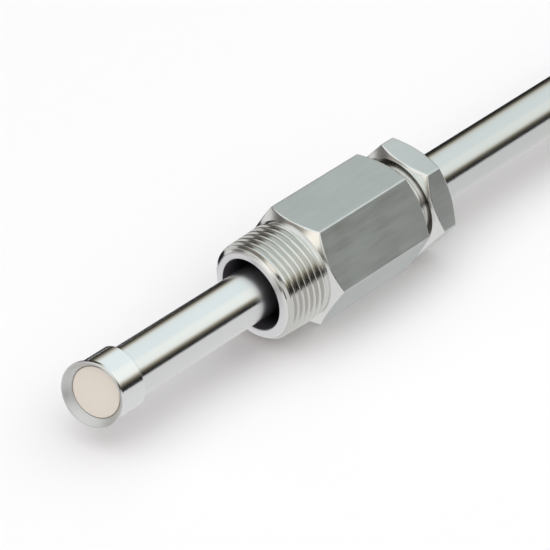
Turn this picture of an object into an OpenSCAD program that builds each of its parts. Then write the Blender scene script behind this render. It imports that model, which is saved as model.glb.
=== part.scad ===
// Insertion ultrasonic flow sensor: a steel stem with a slanted sensor face, held in a
// compression fitting. The stem lies along X, the sensor face points to -X and +Z is up.
// The origin is on the stem's axis, at the middle of the full-diameter pipe thread.
// The pipe thread's ridges are plain rings. The other threads are plain cylinders at
// their major diameter.

/* [Stem] */
// Outer diameter of the stem tube
stem_d = 16.5; // [14:0.5:18]
// Wall of the stem tube
stem_wall = 1.5; // [1:0.1:2]
// Stem showing between the thread's front face and the head's shoulder
stem_out = 54; // [30:0.1:90]
// Stem behind the rear face of the gland nut
stem_rear = 96; // [60:1:160]

/* [Sensor head] */
// Step from the stem up to the collar, on the radius
collar_step = 1.6; // [1:0.05:2.5]
// Length of the head along the axis, from its shoulder to the middle of the rim
head_len = 12.6; // [12:0.1:20]
// Depth of the socket in the head that takes the stem
socket_len = 3.5; // [2:0.5:4]
// Lip of the rim beyond the collar, on the radius
rim_lip = 0.75; // [0.5:0.05:1.2]
// Straight height of the rim
rim_h = 0.9; // [0.6:0.1:1.5]
// Slant of the sensor face
face_slant = 17.5; // [5:0.5:20]
// Turn of the slanted face about the stem's axis
face_roll = 40; // [0:1:90]
// Depth of the dished ring around the window
dish_depth = 1.85; // [0.8:0.1:2]
// Width of the dished ring and rim around the window
ring_w = 2.5; // [1.8:0.1:2.8]
// Thickness of the window
window_t = 3; // [2:0.1:4]
// Width of the bonding ring around the window
seal_w = 0.25; // [0.2:0.05:0.5]
// Thickness of the crystals
crystal_t = 1; // [0.6:0.1:1.5]
// Thickness of the barrier between the crystals
barrier_t = 1; // [0.6:0.1:2]
// Depth of the barrier behind the window
barrier_len = 3; // [2:0.1:4]
// Diameter of each lead inside the stem
lead_d = 2.2; // [1.6:0.1:2.6]

/* [Fitting body] */
// Major diameter of the pipe thread
thread_d = 33.25; // [32:0.05:36]
// Length of the pipe thread at full diameter
thread_len = 13.2; // [10:0.1:20]
// Length of the chamfers at both ends of the pipe thread
thread_chamfer = 1.4; // [0.8:0.1:1.8]
// Ridges of the pipe thread in one inch
thread_tpi = 11; // [10:1:14]
// Diameter of the relief neck behind the pipe thread
neck_d = 31; // [30:0.1:31.5]
// Length of the relief neck
neck_len = 2; // [1:0.1:4]
// Hexagon of the fitting body across its flats
hex_af = 35; // [34:0.5:42]
// Length of the fitting body's hexagon
hex_len = 43; // [42:0.5:60]
// Inset of the flat end faces from the hexagon's flats, on the radius
hex_inset = 1; // [0.5:0.1:1.5]
// Gap between the head's rim and the pocket that it draws back into
pocket_gap = 1.4; // [1:0.1:2]
// Depth of the pocket for the head
pocket_depth = 26; // [23:0.5:28]
// Thickness of the web between the pocket and the packing
web_t = 3; // [2:0.5:5]

/* [Packing] */
// Width of the packing rings, on the radius
packing_w = 3; // [2.5:0.1:3.5]
// Length of each packing ring
packing_len = 4; // [3:0.1:4.5]
// Thickness of the steel washer in front of the packing
washer_t = 2; // [1:0.1:2.5]
// Length of the thrust ring behind the packing
thrust_len = 7; // [6:0.1:9]

/* [Gland nut] */
// Hexagon of the gland nut across its flats
nut_af = 34; // [33:0.5:40]
// Length of the gland nut's hexagon
nut_len = 9.5; // [8:0.1:14]
// Gap between the fitting body and the gland nut's hexagon
nut_gap = 4; // [3:0.1:8]
// Step from the packing's bore up to the nut's thread, on the radius
nut_step = 2.5; // [2:0.1:2.8]
// Turn of the gland nut about the stem
nut_turn = 8; // [0:1:59]

/* [Tail] */
// Step from the stem up to the tail plug's flange, on the radius
flange_step = 2; // [1.5:0.1:3]
// Length of the tail plug's flange
flange_len = 9; // [8.5:0.5:12]
// Length of the tail plug's spigot inside the stem
spigot_len = 10; // [8:0.5:14]
// Length of the potting in front of the tail plug
potting_len = 8; // [4:0.5:12]
// Cable gland's lower thread diameter
gland_thread_d = 12; // [11:0.5:13]
// Length of the cable gland's lower thread
gland_thread_len = 8; // [6:0.5:8]
// Hexagon of the cable gland across its flats
gland_af = 18; // [17.5:0.5:22]
// Length of the cable gland's hexagon
gland_hex_len = 5; // [4:0.5:8]
// Cable gland's upper thread diameter
gland_top_d = 14; // [13.5:0.5:15]
// Length of the cable gland's upper thread
gland_top_len = 7; // [6:0.5:9]
// Length of the cable gland's cap
cap_len = 13; // [12:0.5:16]
// Diameter of the cable's way through the sealing insert
cable_d = 6; // [5:0.5:6.5]

/* [Clearances] */
// Running and assembly clearance on the radius
fit = 0.05; // [0.02:0.01:0.1]
// Free clearance on the radius around the moving stem
free_gap = 0.3; // [0.2:0.05:0.6]

/* [Hidden] */
$fn = 96;

// Large enough to cut right across the part
beyond = 60;
// Small bevel on turned edges
bevel = 0.5;
// Slope of the chamfers on the hexagons
hex_chamfer_angle = 30;

// Radii, from the stem outwards
stem_r = stem_d / 2;
stem_bore_r = stem_r - stem_wall;
collar_r = stem_r + collar_step;
rim_r = collar_r + rim_lip;
window_r = rim_r - ring_w;
pocket_r = rim_r + pocket_gap;
packing_r = stem_r + packing_w;
nut_thread_r = packing_r + nut_step;
flange_r = stem_r + flange_step;
thread_r = thread_d / 2;
neck_r = neck_d / 2;

// Form of the pipe thread, as Whitworth's rule gives it
thread_pitch = 25.4 / thread_tpi;
thread_depth = 0.64 * thread_pitch;
flank_angle = 27.5;
groove_count = floor(thread_len / thread_pitch);

// Places along the axis, from the head to the tail
thread_front_x = -thread_len / 2 - thread_chamfer;
head_rear_x = thread_front_x - stem_out;
stem_front_x = head_rear_x - socket_len;
face_x = head_rear_x - head_len;
thread_rear_x = thread_len / 2 + thread_chamfer;
hex_front_x = thread_rear_x + neck_len;
hex_rear_x = hex_front_x + hex_len;
pocket_end_x = thread_front_x + pocket_depth;
packing_x = pocket_end_x + web_t;
ring_x = packing_x + washer_t;
ring_count = 3;
thrust_x = ring_x + ring_count * packing_len;
nut_nose_x = thrust_x + thrust_len;
nut_front_x = hex_rear_x + nut_gap;
nut_rear_x = nut_front_x + nut_len;
stem_end_x = nut_rear_x + stem_rear;
flange_end_x = stem_end_x + flange_len;
gasket_t = 1;
gland_x = flange_end_x + gasket_t;
gland_top_x = gland_x + gland_hex_len;
potting_x = stem_end_x - spigot_len - potting_len;

// Places along the axis of the slanted layers, where each crosses the axis
window_x = face_x + dish_depth / cos(face_slant);
window_back_x = window_x + window_t / cos(face_slant);
crystal_back_x = window_back_x + crystal_t / cos(face_slant);
backing_end_x = head_rear_x + 2;
crystal_r = stem_bore_r - 0.7;

// Turns a profile of [x, radius] points about the X axis
module turned(profile) {
    rotate([0, 90, 0])
        rotate_extrude()
            polygon([for (p = profile) [p[1], p[0]]]);
}

// A round bar along X from x0 to x1
module bar(x0, x1, r) {
    translate([x0, 0, 0])
        rotate([0, 90, 0])
            cylinder(h = x1 - x0, r = r);
}

// A ring along X from x0 to x1, bevelled at its four edges
module ring(x0, x1, r_in, r_out, edge = 0.2) {
    turned([
        [x0, r_in + edge], [x0, r_out - edge], [x0 + edge, r_out],
        [x1 - edge, r_out], [x1, r_out - edge], [x1, r_in + edge],
        [x1 - edge, r_in], [x0 + edge, r_in]
    ]);
}

// A hexagonal bar along X, two flats level, with both ends turned to a chamfer
module hex_bar(x0, x1, af, inset) {
    corner_r = af / 2 / cos(30);
    end_r = af / 2 - inset;
    run = (corner_r - end_r) * tan(hex_chamfer_angle);
    intersection() {
        translate([x0, 0, 0])
            rotate([30, 0, 0])
                rotate([0, 90, 0])
                    cylinder(h = x1 - x0, r = corner_r, $fn = 6);
        turned([
            [x0, 0], [x0, end_r], [x0 + run, corner_r],
            [x1 - run, corner_r], [x1, end_r], [x1, 0]
        ]);
    }
}

// The slanted face's own frame at a place on the axis: its +Z runs into the head
module slanted(x) {
    translate([x, 0, 0])
        rotate([-face_roll, 0, 0])
            rotate([0, 0, face_slant])
                rotate([0, 90, 0])
                    children();
}

// Everything behind a slanted plane
module behind(x) {
    slanted(x)
        cylinder(h = 2 * beyond, r = beyond);
}

// Corners of one groove between the pipe thread's ridges, counted from the front
function groove(index) =
    let (
        middle = (index - (groove_count - 1) / 2) * thread_pitch,
        root = 0.08 * thread_pitch,
        mouth = root + thread_depth * tan(flank_angle),
        root_r = thread_r - thread_depth
    )
    [
        [middle - mouth, thread_r], [middle - root, root_r],
        [middle + root, root_r], [middle + mouth, thread_r]
    ];

module fitting_body() {
    // Radius at the small end of the thread's chamfers
    low_r = thread_r - thread_chamfer;
    mouth_r = nut_thread_r + fit;
    color("#b4bab9")
        difference() {
            union() {
                turned([
                    [thread_front_x, 0], [thread_front_x, low_r],
                    [thread_front_x + thread_chamfer, thread_r],
                    for (index = [0:groove_count - 1]) each groove(index),
                    [thread_rear_x - thread_chamfer, thread_r],
                    [thread_rear_x, min(low_r, neck_r)],
                    [thread_rear_x, neck_r], [hex_front_x + 1, neck_r], [hex_front_x + 1, 0]
                ]);
                hex_bar(hex_front_x, hex_rear_x, hex_af, hex_inset);
            }
            // Pocket for the head, with a bevelled mouth
            bar(thread_front_x - 1, pocket_end_x, pocket_r);
            turned([
                [thread_front_x - 1, 0], [thread_front_x - 1, pocket_r + bevel + 1],
                [thread_front_x + bevel, pocket_r], [thread_front_x + bevel, 0]
            ]);
            // Way through the web for the stem
            bar(thread_front_x, hex_rear_x, stem_r + free_gap);
            // Bore for the packing
            bar(packing_x, hex_rear_x, packing_r + fit);
            // Thread for the gland nut, with a bevelled mouth
            bar(nut_nose_x - 1, hex_rear_x + 1, mouth_r);
            turned([
                [hex_rear_x - bevel, 0], [hex_rear_x - bevel, mouth_r],
                [hex_rear_x + 1, mouth_r + bevel + 1], [hex_rear_x + 1, 0]
            ]);
        }
}

module packing_washer() {
    color("#a9adab")
        ring(packing_x, ring_x, stem_r + free_gap, packing_r);
}

// One of the packing rings, counted from the front
module packing_ring(index) {
    color("#e9e7df")
        ring(ring_x + index * packing_len, ring_x + (index + 1) * packing_len,
            stem_r + fit, packing_r);
}

module thrust_ring() {
    color("#b0a58e")
        ring(thrust_x, nut_nose_x, stem_r + free_gap, packing_r + fit - free_gap, bevel);
}

module gland_nut() {
    bore_r = stem_r + free_gap;
    color("#b9c0bf")
        rotate([nut_turn, 0, 0])
            difference() {
                union() {
                    hex_bar(nut_front_x, nut_rear_x, nut_af, hex_inset);
                    turned([
                        [nut_nose_x, 0], [nut_nose_x, nut_thread_r - 1],
                        [nut_nose_x + 1, nut_thread_r],
                        [hex_rear_x - 1, nut_thread_r], [hex_rear_x, nut_thread_r - 1],
                        [nut_front_x + 1, nut_thread_r - 1], [nut_front_x + 1, 0]
                    ]);
                }
                bar(nut_nose_x - 1, nut_rear_x + 1, bore_r);
                turned([
                    [nut_rear_x - bevel, 0], [nut_rear_x - bevel, bore_r],
                    [nut_rear_x + 1, bore_r + bevel + 1], [nut_rear_x + 1, 0]
                ]);
            }
}

module stem_tube() {
    color("#d8dbd9")
        difference() {
            bar(stem_front_x, stem_end_x, stem_r);
            bar(stem_front_x - 1, stem_end_x + 1, stem_bore_r);
        }
}

module sensor_head() {
    seat_r = window_r + seal_w;
    flare = 0.7;
    rim_edge = 0.25;
    dish_r = rim_r - 2 * rim_edge - dish_depth * tan(face_slant);
    color("#c6c9c8")
        difference() {
            union() {
                // Slanted rim, flared out from the collar
                slanted(face_x)
                    rotate_extrude()
                        polygon([
                            [0, 0], [rim_r - rim_edge, 0], [rim_r, rim_edge], [rim_r, rim_h],
                            [collar_r, rim_h + flare], [0, rim_h + flare]
                        ]);
                // Collar behind it
                intersection() {
                    turned([
                        [face_x - 8, 0], [face_x - 8, collar_r],
                        [head_rear_x - bevel, collar_r], [head_rear_x, collar_r - bevel],
                        [head_rear_x, 0]
                    ]);
                    behind(face_x + rim_h / 2);
                }
            }
            // Dish and seat, centred where the window's face crosses the axis
            slanted(window_x)
                rotate_extrude()
                    polygon([
                        [0, -dish_depth - 1], [dish_r, -dish_depth - 1], [dish_r, -dish_depth],
                        [seat_r, 0], [seat_r, window_t], [0, window_t]
                    ]);
            // Chamber behind the window
            bar(window_back_x - window_t, head_rear_x + 1, stem_bore_r);
            // Socket for the stem
            bar(stem_front_x, head_rear_x + 1, stem_r + fit);
        }
}

module window_disc() {
    color("#ddd2c6")
        slanted(window_x)
            cylinder(h = window_t, r = window_r);
}

module window_seal() {
    groove = 0.3;
    color("#5c554c")
        slanted(window_x)
            translate([0, 0, groove])
                difference() {
                    cylinder(h = window_t - groove, r = window_r + seal_w);
                    translate([0, 0, -1])
                        cylinder(h = window_t + 2, r = window_r);
                }
}

// The barrier's plate, from the window's back into the backing block
module barrier_plate(gap = 0) {
    slanted(window_back_x)
        translate([-barrier_t / 2 - gap, -crystal_r, 0])
            cube([barrier_t + 2 * gap, 2 * crystal_r, barrier_len + gap]);
}

// One of the two half-round crystals: side is 1 or -1
module crystal(side) {
    slanted(window_back_x)
        intersection() {
            cylinder(h = crystal_t, r = crystal_r);
            translate([side > 0 ? barrier_t / 2 : -barrier_t / 2 - beyond, -beyond / 2, -1])
                cube([beyond, beyond, crystal_t + 2]);
        }
}

module transmit_crystal() {
    color("#b8a98a")
        crystal(1);
}

module receive_crystal() {
    color("#b8a98a")
        crystal(-1);
}

module crystal_barrier() {
    color("#a5764b")
        intersection() {
            barrier_plate();
            bar(face_x - 8, head_rear_x, crystal_r);
        }
}

module backing_block() {
    color("#3d3a38")
        difference() {
            intersection() {
                bar(face_x - 8, backing_end_x, stem_bore_r - fit);
                behind(crystal_back_x);
            }
            barrier_plate(fit);
        }
}

// One of the two leads that run down the stem: side is 1 or -1
module lead(side) {
    translate([0, side * 0.75 * lead_d, 0])
        bar(backing_end_x, potting_x, lead_d / 2);
}

module transmit_lead() {
    color("#3a3a3c")
        lead(1);
}

module receive_lead() {
    color("#8c2f2a")
        lead(-1);
}

module potting_plug() {
    color("#26272a")
        bar(potting_x, stem_end_x - spigot_len, stem_bore_r - fit);
}

module tail_plug() {
    spigot_r = stem_bore_r - fit;
    groove_w = 2;
    flat_af = stem_d + 1.5;
    color("#c2c6c5")
        difference() {
            union() {
                turned([
                    [stem_end_x - spigot_len, 0], [stem_end_x - spigot_len, spigot_r],
                    [stem_end_x, spigot_r], [stem_end_x, flange_r - bevel],
                    [stem_end_x + bevel, flange_r], [flange_end_x - bevel, flange_r],
                    [flange_end_x, flange_r - bevel], [flange_end_x, 0]
                ]);
            }
            // Two flats for a spanner
            for (side = [-1, 1])
                translate([stem_end_x + 2, -beyond / 2, side * (flat_af + beyond) / 2 - beyond / 2])
                    cube([flange_len, beyond, beyond]);
            // Thread for the cable gland and way through for the leads
            bar(flange_end_x - gland_thread_len - bevel, flange_end_x + 1, gland_thread_d / 2 + fit);
            bar(stem_end_x - spigot_len - 1, flange_end_x, cable_d / 2 + 1);
            // Groove for the seal
            translate([stem_end_x - spigot_len / 2 - groove_w / 2, 0, 0])
                difference() {
                    bar(0, groove_w, beyond);
                    bar(-1, groove_w + 1, spigot_r - 1);
                }
        }
}

module tail_seal() {
    color("#1b1b1d")
        ring(stem_end_x - spigot_len / 2 - 0.9, stem_end_x - spigot_len / 2 + 0.9,
            stem_bore_r - fit - 1, stem_bore_r, 0.3);
}

module gland_base() {
    // Depth of the cone that the sealing insert sits in
    seat_r = gland_top_d / 2 - 1.2;
    color("#c4c8c8")
        difference() {
            union() {
                bar(flange_end_x - gland_thread_len, gland_x, gland_thread_d / 2);
                hex_bar(gland_x, gland_top_x, gland_af, 0.4);
                turned([
                    [gland_top_x - 1, 0], [gland_top_x - 1, gland_top_d / 2],
                    [gland_top_x + gland_top_len - bevel, gland_top_d / 2],
                    [gland_top_x + gland_top_len, gland_top_d / 2 - bevel],
                    [gland_top_x + gland_top_len, 0]
                ]);
            }
            bar(flange_end_x - gland_thread_len - 1, gland_top_x + beyond, cable_d / 2 + 0.5);
            bar(gland_top_x, gland_top_x + gland_top_len + 1, seat_r);
        }
}

module gland_gasket() {
    color("#202023")
        ring(flange_end_x, gland_x, gland_thread_d / 2 + fit, gland_af / 2 - 1, 0.15);
}

module gland_insert() {
    seat_r = gland_top_d / 2 - 1.2;
    inside_x = gland_top_x + 2;
    top_x = gland_top_x + gland_top_len;
    color("#19191b")
        turned([
            [inside_x, cable_d / 2], [inside_x, seat_r - free_gap],
            [top_x, seat_r - free_gap], [top_x + 0.3, gland_top_d / 2 - 1],
            [top_x + 1.5, gland_top_d / 2 - 1.5], [top_x + 2.5, cable_d / 2 + 1],
            [top_x + 2.5, cable_d / 2]
        ]);
}

module gland_cap() {
    cap_x = gland_top_x + 0.5;
    end_x = cap_x + cap_len;
    top_x = gland_top_x + gland_top_len;
    dome_r = gland_af / 2 - 0.6;
    color("#c4c8c8")
        difference() {
            union() {
                hex_bar(cap_x, end_x - 5, gland_af, 0.4);
                // Domed end
                turned([
                    [end_x - 6, 0], [end_x - 6, dome_r],
                    for (angle = [0:15:60])
                        [end_x - 5 + 5 * sin(angle * 1.5), dome_r - 3.2 * (1 - cos(angle * 1.5))],
                    [end_x, 0]
                ]);
            }
            bar(cap_x - 1, top_x + 0.3, gland_top_d / 2 + fit);
            // Cone that presses on the insert
            turned([
                [top_x, 0], [top_x, gland_top_d / 2 + fit], [top_x + 0.3, gland_top_d / 2 + fit],
                [top_x + 0.3 + 0.02, gland_top_d / 2 - 1 + free_gap],
                [top_x + 1.5, gland_top_d / 2 - 1.5 + free_gap],
                [top_x + 2.5, cable_d / 2 + 1 + free_gap], [top_x + 2.5, 0]
            ]);
            bar(top_x, end_x + 1, cable_d / 2 + 0.8);
        }
}

fitting_body();
packing_washer();
packing_ring(0);  // packing_ring_1
packing_ring(1);  // packing_ring_2
packing_ring(2);  // packing_ring_3
thrust_ring();
gland_nut();
stem_tube();
sensor_head();
window_disc();
window_seal();
transmit_crystal();
receive_crystal();
crystal_barrier();
backing_block();
transmit_lead();
receive_lead();
potting_plug();
tail_plug();
tail_seal();
gland_base();
gland_gasket();
gland_insert();
gland_cap();
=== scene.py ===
# %% [markdown]
# # An insertion flow sensor in its compression fitting
#
# The object is a polished steel stem with a slanted sensor face at its tip. It slides in
# a hexagonal fitting with a pipe thread, and a gland nut squeezes packing on to it.
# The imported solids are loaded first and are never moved: every piece below is made in
# their frame, in metres, with the stem along X and the sensor face towards -X.

# %% Load the frame
import math

import bmesh
import bpy
import numpy as np
from mathutils import Matrix, Quaternion, Vector


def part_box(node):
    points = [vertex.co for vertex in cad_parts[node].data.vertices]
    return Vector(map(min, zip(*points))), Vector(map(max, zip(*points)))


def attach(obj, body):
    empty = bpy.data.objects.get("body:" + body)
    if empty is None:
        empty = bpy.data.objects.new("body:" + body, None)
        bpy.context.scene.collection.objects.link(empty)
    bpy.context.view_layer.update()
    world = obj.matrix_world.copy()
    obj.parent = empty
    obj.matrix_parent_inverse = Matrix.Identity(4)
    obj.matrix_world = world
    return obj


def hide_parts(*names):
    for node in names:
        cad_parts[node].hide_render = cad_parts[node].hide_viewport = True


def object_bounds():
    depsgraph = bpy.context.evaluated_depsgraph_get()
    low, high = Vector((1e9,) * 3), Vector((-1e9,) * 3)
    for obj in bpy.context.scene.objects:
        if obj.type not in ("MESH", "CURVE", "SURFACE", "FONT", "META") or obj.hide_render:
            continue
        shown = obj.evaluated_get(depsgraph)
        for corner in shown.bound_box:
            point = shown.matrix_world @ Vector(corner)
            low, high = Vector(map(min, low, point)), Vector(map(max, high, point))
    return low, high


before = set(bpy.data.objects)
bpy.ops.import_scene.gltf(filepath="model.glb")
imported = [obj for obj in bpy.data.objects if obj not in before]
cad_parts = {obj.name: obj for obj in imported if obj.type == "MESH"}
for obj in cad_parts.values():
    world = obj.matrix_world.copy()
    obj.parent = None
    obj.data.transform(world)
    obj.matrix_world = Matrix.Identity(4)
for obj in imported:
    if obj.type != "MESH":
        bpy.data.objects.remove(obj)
cad_box = [list(corner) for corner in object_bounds()]
print("solids:", len(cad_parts), "box:", cad_box)

# %% [markdown]
# ## Sizes
#
# Places along the axis are read from the solids' boxes, so a piece always sits where the
# solid it dresses sits. A solid's box can't tell a radius inside it, so the radii are
# written here once, in millimetres, and repeat the driving sizes of the solids.

# %% Places along the axis
MM = 0.001


def ends(node):
    """Where a solid starts and ends along the axis, in millimetres."""
    low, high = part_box(node)
    return round(low.x / MM, 2), round(high.x / MM, 2)


thread_front, hex_rear = ends("fitting_body")
nut_nose, nut_rear = ends("gland_nut")
stem_front, stem_end = ends("stem_tube")
head_rear = ends("sensor_head")[1]
plug_front, flange_end = ends("tail_plug")
seal_front, seal_end = ends("tail_seal")
gasket_end = ends("gland_gasket")[1]
gland_top_end = ends("gland_base")[1]
cap_front, cap_end = ends("gland_cap")
insert_front, insert_end = ends("gland_insert")
packing_front = ends("packing_washer")[0]
GLAND_HEX_LEN = 5.0
gland_hex_end = gasket_end + GLAND_HEX_LEN
print("fitting from", thread_front, "to", hex_rear, "mm, stem from", stem_front, "to", stem_end)

# %% Sizes of the stem and its head
STEM_R = 8.25
STEM_BORE_R = 6.75
COLLAR_R = 9.85
RIM_R = 10.59
WINDOW_R = 8.1
SEAT_R = 8.35
HEAD_LEN = 12.6
DISH = 1.85
WINDOW_T = 3.0
RIM_H = 0.9
SLANT = math.radians(17.5)
ROLL = math.radians(40)
print("face slanted by", round(math.degrees(SLANT), 1), "degrees, rim", 2 * RIM_R, "mm wide")

# %% [markdown]
# The pipe thread is a one inch thread with 11 turns to the inch, so its pitch and depth
# follow from the standard. Its crests narrow by 1 in 32 towards the mouth, as on a taper
# thread. At the mouth a bevel leads to the thread's core, and the crests rise from there.

# %% Sizes of the fitting and its thread
THREAD_R = 16.6
THREAD_PITCH = 2.309
THREAD_DEPTH = 1.479
THREAD_SPAN = 16.3
THREAD_TAPER = 1 / 32
MOUTH_FACE_R = 13.9
MOUTH_BEVEL = 0.8
THREAD_STARTS = 1.0
THREAD_LEAD_IN = 1.8
THREAD_PHASE = 0.52
CORE_R = 15.0
NECK_R = 15.5
HEX_FRONT = 10.0
BODY_AF = 35.0
POCKET_R = 12.0
POCKET_END = 18.0
PACKING_R = 11.3
FREE = 0.3
HEX_INSET = 1.0
print("body hexagon", BODY_AF, "mm across flats, thread pitch", THREAD_PITCH, "mm")

# %% [markdown]
# The nut is turned a few degrees against the body, as the photograph shows it. The tail
# lies behind the photograph's edge, so its sizes are those of a common small cable gland.

# %% Sizes of the nut and the tail
NUT_THREAD_R = 13.75
NUT_AF = 34.0
NUT_FRONT = 57.0
NUT_TURN = math.radians(8)
GLAND_AF = 18.0
GLAND_TOP_R = 7.0
FLANGE_R = 10.25
CABLE_R = 3.0
SPIGOT_R = STEM_BORE_R - 0.05
SEAL_MIDDLE = (seal_front + seal_end) / 2
GLAND_THREAD_R = 6.0
GLAND_THREAD_LEN = 8.0
SEAT_TOP_R = GLAND_TOP_R - 1.2
print("nut", NUT_AF, "mm across flats, cable gland", GLAND_AF, "mm")

# %% [markdown]
# ## Turned shapes
#
# Nearly every piece comes off a lathe, so one helper turns a profile about the stem's
# axis. A real edge is never sharp: each corner of a profile has a rounding, and a row of
# points is held close beside each arc, so the wide faces keep clean reflections.

# %% Profiles with rounded corners
ARC_STEPS = 5
HOLD = 0.05


def rounded(corners):
    """Gives each (x, radius, rounding) corner of a closed profile its small arc."""
    points = []
    count = len(corners)
    for i, (x, r, rounding) in enumerate(corners):
        here = np.array((x, r), float)
        if rounding == 0:
            points.append(here)
            continue
        before = np.array(corners[i - 1][:2], float) - here
        after = np.array(corners[(i + 1) % count][:2], float) - here
        before_len, after_len = np.linalg.norm(before), np.linalg.norm(after)
        u, v = before / before_len, after / after_len
        half = math.acos(float(np.clip(u @ v, -1, 1))) / 2
        rounding = min(rounding, 0.45 * min(before_len, after_len) * math.tan(half))
        middle = here + (u + v) / np.linalg.norm(u + v) * rounding / math.sin(half)
        start = here + u * rounding / math.tan(half) - middle
        end = here + v * rounding / math.tan(half) - middle
        sweep = math.pi - 2 * half
        for step in range(ARC_STEPS + 1):
            t = step / ARC_STEPS
            mixed = math.sin((1 - t) * sweep) * start + math.sin(t * sweep) * end
            points.append(middle + mixed / math.sin(sweep))
    return points


def held(points, step=None):
    """Adds rows beside the arcs, and rows every step along the straight stretches."""
    rows = []
    for i, here in enumerate(points):
        after = points[(i + 1) % len(points)]
        length = np.linalg.norm(after - here)
        rows.append(here)
        if length > 6 * HOLD:
            shares = [HOLD / length, 1 - HOLD / length]
            if step and here[1] > 0 and abs(after[1] - here[1]) > step:
                shares += list(np.arange(step, length - step, step) / length)
            rows += [here + (after - here) * share for share in sorted(shares)]
    return np.array(rows)


# %% [markdown]
# A hexagon is turned too, on a lathe with a limit: each point of the profile is pulled in
# to the hexagon's flats where it would stand outside them. Where the cone of a chamfer
# meets a flat, this gives the curved edges that a real nut has, and the soft minimum
# rounds every corner a little, as tumbling does.

# %% Meshes of rings
SMOOTH_POWER = 120


def hexagon(across_flats, turn):
    """The radius of a hexagon's outline at each angle, two flats level before the turn."""
    def limit(angles):
        total = np.zeros_like(angles)
        for k in range(6):
            facing = np.cos(angles - turn - math.radians(30 + 60 * k))
            total += np.clip(facing / (across_flats / 2), 0, None) ** SMOOTH_POWER
        return total ** (-1 / SMOOTH_POWER)
    return limit


def hexagon_angles(turn):
    """Columns set close together near the six corners and wide apart on the flats."""
    near = [0, 0.35, 0.7, 1.1, 1.6, 2.3, 3.2, 4.5, 6.5, 9, 12, 16, 20, 25]
    offsets = [-a for a in near[:0:-1]] + near + [30]
    return np.array(sorted(math.radians(60 * k + a) + turn for k in range(6) for a in offsets))


def round_angles(count=240):
    return np.arange(count) * 2 * math.pi / count


def ring_mesh(name, rings):
    """A closed skin over rings of points: the last ring joins the first."""
    rows, columns = rings.shape[:2]
    index = np.arange(rows * columns).reshape(rows, columns)
    below = np.roll(index, -1, axis=0)
    quads = np.stack([index, np.roll(index, -1, 1), np.roll(below, -1, 1), below], -1)
    mesh = bpy.data.meshes.new(name)
    mesh.from_pydata((rings.reshape(-1, 3) * MM).tolist(), [], quads.reshape(-1, 4).tolist())
    made = bmesh.new()
    made.from_mesh(mesh)
    bmesh.ops.remove_doubles(made, verts=made.verts, dist=1e-7)
    bmesh.ops.dissolve_degenerate(made, edges=made.edges, dist=1e-8)
    bmesh.ops.recalc_face_normals(made, faces=made.faces)
    made.to_mesh(mesh)
    made.free()
    mesh.shade_smooth()
    piece = bpy.data.objects.new(name, mesh)
    bpy.context.scene.collection.objects.link(piece)
    print(name, len(mesh.polygons), "faces")
    return piece


def shoulder_rows(profile, x):
    """Two rows close together where the long outer side passes a place, for a step there."""
    rows = []
    for here, after in zip(profile, np.roll(profile, -1, axis=0)):
        rows.append(here)
        if here[0] < x < after[0] and here[1] == profile[:, 1].max():
            rows += [np.array((x - 0.03, here[1])), np.array((x + 0.03, here[1]))]
    return np.array(rows)


def turned(name, corners, limit=None, angles=None, step=None, place=None, limit_from=None):
    """Turns a closed profile of (x, radius, rounding) about the X axis."""
    profile = held(rounded(corners), step)
    if limit_from is not None:
        profile = shoulder_rows(profile, limit_from)
    if angles is None:
        angles = round_angles()
    radii = np.repeat(profile[:, 1:2], len(angles), axis=1)
    if limit is not None:
        flats = limit(angles)[None, :]
        inner = np.clip(radii, 1e-6, None)
        pulled = (inner ** -SMOOTH_POWER + flats ** -SMOOTH_POWER) ** (-1 / SMOOTH_POWER)
        applies = radii > 0.8 * flats.min()
        if limit_from is not None:
            applies &= profile[:, 0:1] > limit_from
        radii = np.where(applies, pulled, radii)
    rings = np.empty(radii.shape + (3,))
    rings[..., 0] = profile[:, 0:1]
    rings[..., 1] = radii * np.cos(angles)
    rings[..., 2] = radii * np.sin(angles)
    if place is not None:
        turn = np.array(place.to_3x3())
        rings = rings @ turn.T + np.array(place.translation)
    return ring_mesh(name, rings)


# %% [markdown]
# The cone of a chamfer is drawn a little past the hexagon's corners. The hexagon then cuts
# it back, and where they cross the curved edge comes by itself.

# %% Chamfers of a hexagon
HALF_CORNER = math.radians(30)
CHAMFER = math.radians(30)
PAST_CORNER = 1.03
EDGE_ROUND = 0.15


def past_corners(across_flats):
    """A radius a little larger than the hexagon's corners."""
    return across_flats / 2 / math.cos(HALF_CORNER) * PAST_CORNER


def chamfer_cone(face_x, inward, across_flats, inset):
    """Profile corners of a hexagon's chamfered end: the face's edge and the cone's end."""
    edge_r = across_flats / 2 - inset
    run = (past_corners(across_flats) - edge_r) * math.tan(CHAMFER)
    return (face_x, edge_r, EDGE_ROUND), (face_x + inward * run, past_corners(across_flats), 0)


print("body's chamfer reaches", round(past_corners(BODY_AF), 2), "mm from the axis")


# %% [markdown]
# ## Camera
#
# The photograph is a close product shot with a long lens: the camera stands in front of
# the sensor face, to one side and well above. The aim is the point at the picture's
# middle, and the lens gives the whole fitting about the width that it has there.

# %% Camera
AIM = Vector((2.44, -0.41, 2.0)) * MM
AZIMUTH = math.radians(44.4)
ELEVATION = math.radians(36.15)
ROLL_OF_PICTURE = math.radians(-1.17)
DISTANCE = 1000 * MM

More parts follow.
